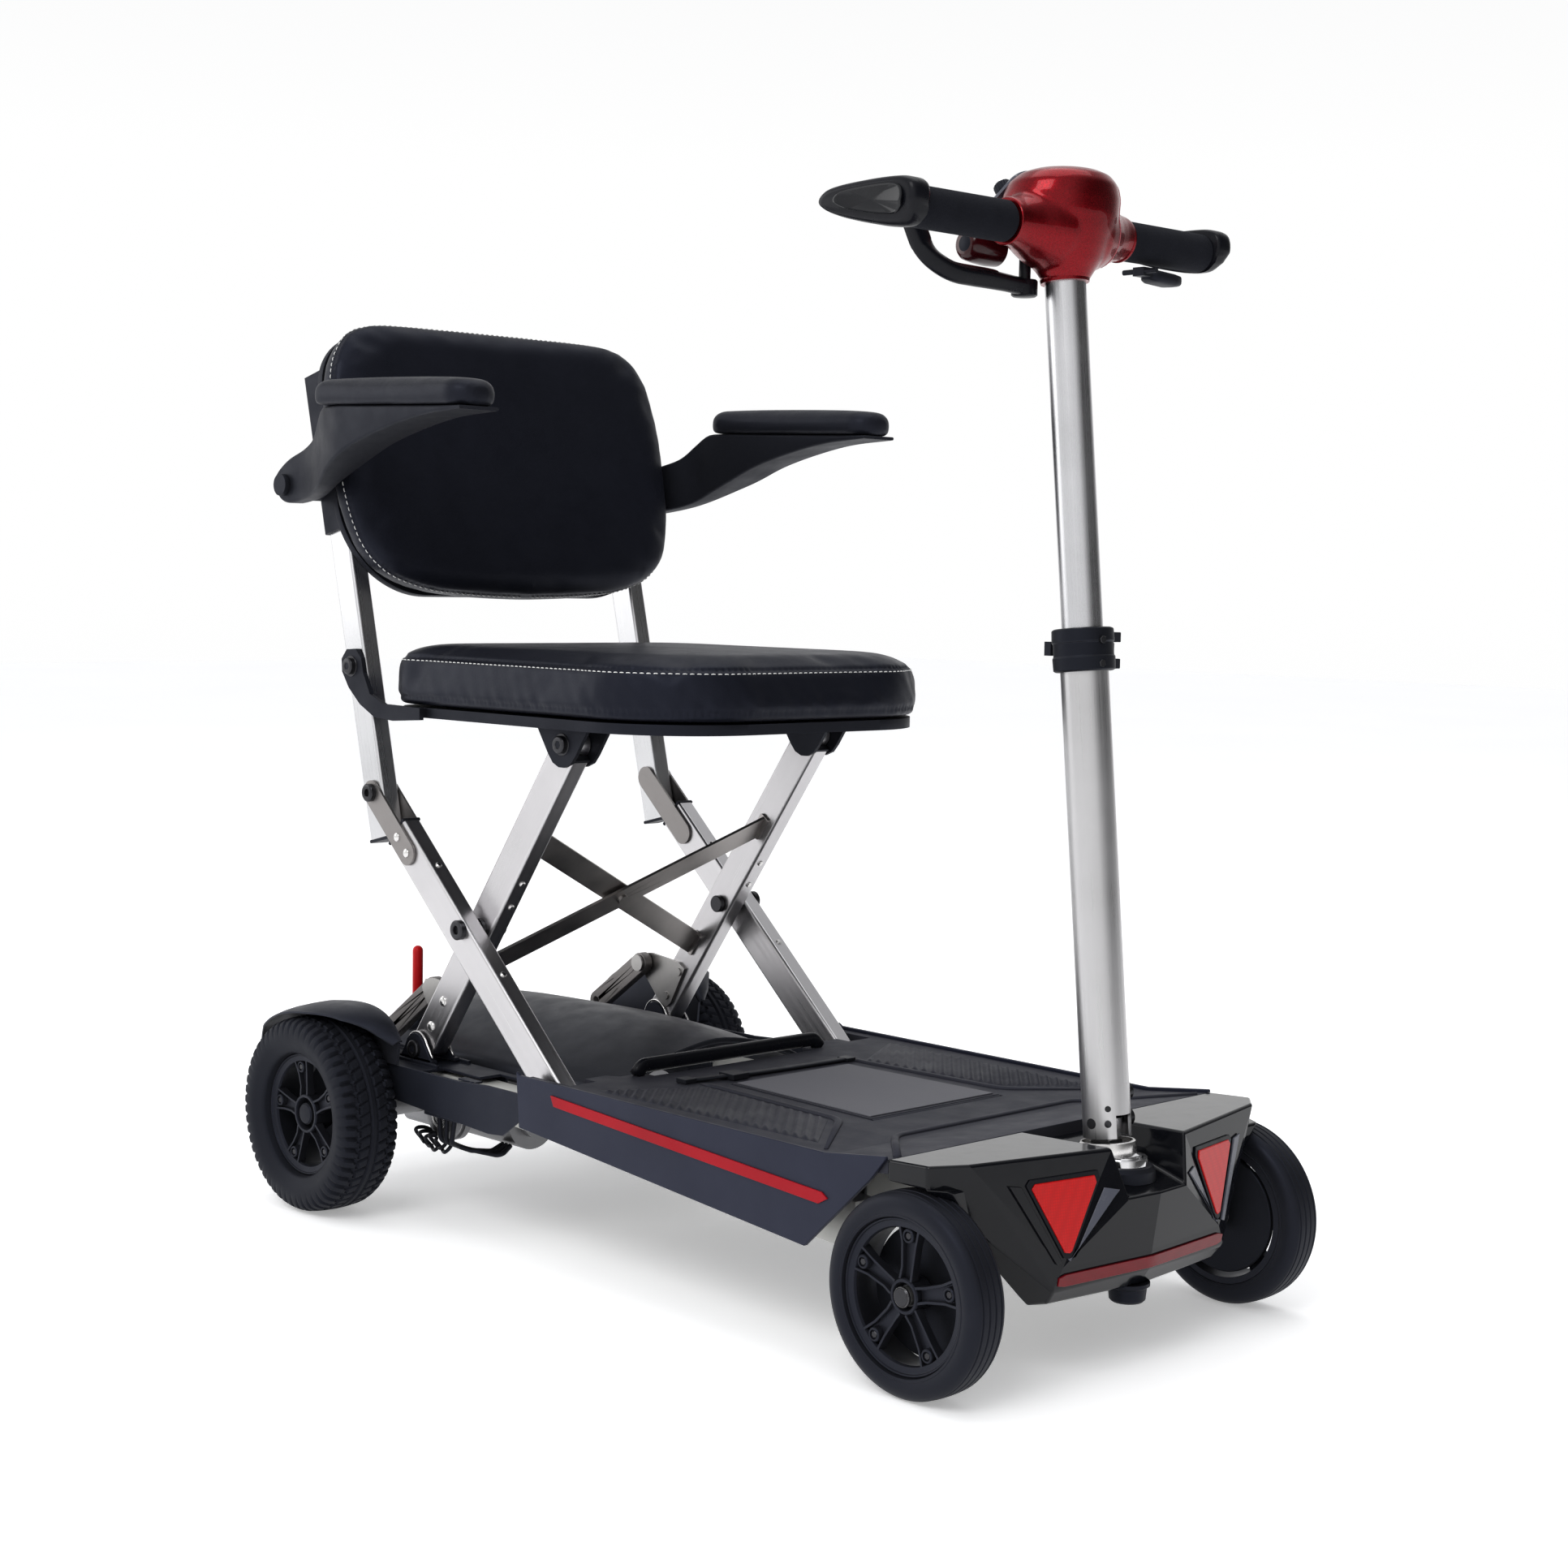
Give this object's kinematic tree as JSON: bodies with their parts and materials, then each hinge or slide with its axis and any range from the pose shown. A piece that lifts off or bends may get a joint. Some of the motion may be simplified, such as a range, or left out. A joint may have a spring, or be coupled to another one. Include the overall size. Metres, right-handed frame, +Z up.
{
  "type": "folding mobility scooter",
  "caption": "Four-wheeled folding mobility scooter with a padded seat on a scissor frame, flip-up armrests, a flat deck and a telescopic steering column with a red head",
  "frame": {"origin": "on the ground under the middle of the overall length and width", "axes": "+X forward (towards the steering column), +Y to the rider's left, +Z up"},
  "size_m": [0.9938, 0.575, 0.9988],
  "materials": {
    "silver_tube": "satin",
    "steel": "satin",
    "white_frame": "powder coat",
    "dark_frame": "textured powder coat",
    "dark_plastic": "fine grain",
    "mat": "fine grain",
    "gloss_black": "gloss",
    "red_plastic": "gloss",
    "red_metallic": "candy metallic gloss",
    "lens_red": "translucent look, gloss",
    "bezel": "gloss",
    "vinyl": "soft sheen",
    "foam": "matte foam",
    "tyre_rubber": "matte",
    "black_bolt": "black oxide",
    "cable": "matte"
  },
  "bodies": {
    "chassis": {"chassis_rails": "white_frame", "deck_panel": "dark_plastic", "side_skirts": "dark_frame", "skirt_stripes": "red_plastic", "deck_handle": "gloss_black", "battery_pack": "dark_plastic", "rear_side_plates": "dark_frame", "rear_cover": "dark_plastic", "rear_fenders": "dark_plastic", "drive_unit": "dark_frame", "wiring_harness": "cable", "front_axle_beam": "white_frame", "steering_head": "steel", "front_cowl": "gloss_black", "lamp_lenses": "lens_red", "lamp_bezels": "bezel"},
    "battery_lid": {"battery_lid": "mat"},
    "outer_legs": {"outer_leg_tubes": "silver_tube", "link_plates": "steel", "outer_leg_bolts": "black_bolt"},
    "inner_legs": {"inner_leg_tubes": "silver_tube", "cross_braces": "steel", "link_brackets": "steel"},
    "drive_links": {"drive_links": "steel"},
    "foot_shoes": {"foot_shoes": "steel"},
    "seat": {"seat_pan": "dark_plastic", "seat_cushion": "vinyl"},
    "backrest": {"back_posts": "silver_tube", "back_pad": "vinyl", "back_shell": "dark_plastic"},
    "armrest_left": {"armrest_bracket_left": "dark_plastic", "armrest_pad_left": "foam"},
    "armrest_right": {"armrest_bracket_right": "dark_plastic", "armrest_pad_right": "foam"},
    "steering_stem": {"steering_stem": "steel"},
    "tiller": {"tiller_tube": "silver_tube", "tiller_bolts": "black_bolt", "tiller_clamp": "gloss_black"},
    "clamp_lever": {"clamp_lever": "gloss_black"},
    "tiller_upper": {"tiller_inner_tube": "silver_tube", "head_shell": "red_metallic", "console_panel": "gloss_black", "handlebar_grips": "foam", "grip_horns": "gloss_black"},
    "throttle_lever": {"throttle_lever": "gloss_black"},
    "left_lever": {"left_lever": "dark_plastic"},
    "speed_knob": {"speed_knob": "gloss_black"},
    "knuckle_left": {"knuckle_left": "steel"},
    "knuckle_right": {"knuckle_right": "steel"},
    "tie_rod": {"tie_rod": "steel"},
    "wheel_front_left": {"tyre_front_left": "tyre_rubber", "rim_front_left": "dark_plastic"},
    "wheel_front_right": {"tyre_front_right": "tyre_rubber", "rim_front_right": "dark_plastic"},
    "wheel_rear_left": {"tyre_rear_left": "tyre_rubber", "rim_rear_left": "dark_plastic"},
    "wheel_rear_right": {"tyre_rear_right": "tyre_rubber", "rim_rear_right": "dark_plastic"},
    "freewheel_lever": {"freewheel_lever": "red_plastic"}
  },
  "joints": [
    {"name": "seat_fold", "type": "hinge", "parent": "chassis", "child": "outer_legs", "pos_m": [-0.0571, 0, 0.1433], "axis": [0, -1, 0], "range_deg": [0, 16.5]},
    {"name": "leg_cross", "type": "hinge", "parent": "outer_legs", "child": "inner_legs", "pos_m": [-0.2218, 0, 0.303], "axis": [0, -1, 0], "range_deg": [-41.2, 0.2]},
    {"name": "seat_pivot", "type": "hinge", "parent": "inner_legs", "child": "seat", "pos_m": [-0.0914, 0, 0.4917], "axis": [0, -1, 0], "range_deg": [-0.2, 22.47]},
    {"name": "back_pivot", "type": "hinge", "parent": "seat", "child": "backrest", "pos_m": [-0.404, 0, 0.5541], "axis": [0, -1, 0], "range_deg": [-43.12, 0.2]},
    {"name": "foot_pivot", "type": "hinge", "parent": "inner_legs", "child": "foot_shoes", "pos_m": [-0.3212, 0, 0.1687], "axis": [0, -1, 0], "range_deg": [-0.2, 24.7]},
    {"name": "drive_link_pivot", "type": "hinge", "parent": "inner_legs", "child": "drive_links", "pos_m": [-0.337, 0, 0.226], "axis": [0, -1, 0], "range_deg": [-0.2, 24.7]},
    {"name": "armrest_left_flip", "type": "hinge", "parent": "backrest", "child": "armrest_left", "pos_m": [-0.465, 0, 0.737], "axis": [0, -1, 0], "range_deg": [0, 90]},
    {"name": "armrest_right_flip", "type": "hinge", "parent": "backrest", "child": "armrest_right", "pos_m": [-0.465, 0, 0.737], "axis": [0, -1, 0], "range_deg": [0, 90]},
    {"name": "battery_lid_hinge", "type": "hinge", "parent": "chassis", "child": "battery_lid", "pos_m": [0.237, 0, 0.175], "axis": [0, -1, 0], "range_deg": [-75, 0]},
    {"name": "steering", "type": "hinge", "parent": "chassis", "child": "steering_stem", "pos_m": [0.45, 0, 0.15], "axis": [0, 0, 1], "range_deg": [-25, 25]},
    {"name": "tiller_fold", "type": "hinge", "parent": "steering_stem", "child": "tiller", "pos_m": [0.4327, 0, 0.199], "axis": [0, -1, 0], "range_deg": [0, 32]},
    {"name": "tiller_slide", "type": "slide", "parent": "tiller", "child": "tiller_upper", "axis": [0.0995, 0, -0.995], "range_m": [0, 0.18]},
    {"name": "clamp_lever_hinge", "type": "hinge", "parent": "tiller", "child": "clamp_lever", "pos_m": [0.3941, 0.033, 0.59503], "axis": [0, 0, -1], "range_deg": [0, 60]},
    {"name": "throttle", "type": "hinge", "parent": "tiller_upper", "child": "throttle_lever", "pos_m": [0.336, -0.022, 0.898], "axis": [0, 0, 1], "range_deg": [0, 8], "stiffness_Nm_per_rad": 1.5},
    {"name": "left_lever_hinge", "type": "hinge", "parent": "tiller_upper", "child": "left_lever", "pos_m": [0.366, 0.095, 0.922], "axis": [1, 0, 0], "range_deg": [0, 3.5], "stiffness_Nm_per_rad": 3, "springref_deg": -1.72},
    {"name": "speed_dial", "type": "hinge", "parent": "tiller_upper", "child": "speed_knob", "pos_m": [0.3157, -0.026, 0.9804], "axis": [-0.6, 0, 0.8], "range_deg": [0, 270]},
    {"name": "kingpin_left", "type": "hinge", "parent": "chassis", "child": "knuckle_left", "pos_m": [0.412, 0.172, 0.084], "axis": [0, 0, 1], "range_deg": [-25.2, 25.2]},
    {"name": "kingpin_right", "type": "hinge", "parent": "chassis", "child": "knuckle_right", "pos_m": [0.412, -0.172, 0.084], "axis": [0, 0, 1], "range_deg": [-25.2, 25.2]},
    {"name": "tie_rod_slide", "type": "slide", "parent": "chassis", "child": "tie_rod", "axis": [0, 1, 0], "range_m": [-0.0166, 0.0166]},
    {"name": "wheel_front_left_spin", "type": "hinge", "parent": "knuckle_left", "child": "wheel_front_left", "pos_m": [0.412, 0.21, 0.084], "axis": [0, 1, 0], "continuous": true},
    {"name": "wheel_front_right_spin", "type": "hinge", "parent": "knuckle_right", "child": "wheel_front_right", "pos_m": [0.412, -0.21, 0.084], "axis": [0, 1, 0], "continuous": true},
    {"name": "wheel_rear_left_spin", "type": "hinge", "parent": "chassis", "child": "wheel_rear_left", "pos_m": [-0.396, 0.24, 0.1], "axis": [0, 1, 0], "continuous": true},
    {"name": "wheel_rear_right_spin", "type": "hinge", "parent": "chassis", "child": "wheel_rear_right", "pos_m": [-0.396, -0.24, 0.1], "axis": [0, 1, 0], "continuous": true},
    {"name": "freewheel", "type": "hinge", "parent": "chassis", "child": "freewheel_lever", "pos_m": [-0.424, -0.1, 0.148], "axis": [0, -1, 0], "range_deg": [0, 14]}
  ],
  "couplings": [
    {"joint": "leg_cross", "follows": "seat_fold", "ratio": -2.4847},
    {"joint": "seat_pivot", "follows": "seat_fold", "ratio": 1.3495},
    {"joint": "back_pivot", "follows": "seat_fold", "ratio": -2.601},
    {"joint": "foot_pivot", "follows": "seat_fold", "ratio": 1.4847},
    {"joint": "drive_link_pivot", "follows": "seat_fold", "ratio": 1.4847},
    {"joint": "kingpin_left", "follows": "steering", "ratio": 1},
    {"joint": "kingpin_right", "follows": "steering", "ratio": 1},
    {"joint": "tie_rod_slide", "follows": "steering", "m_per_rad": -0.0365}
  ]
}
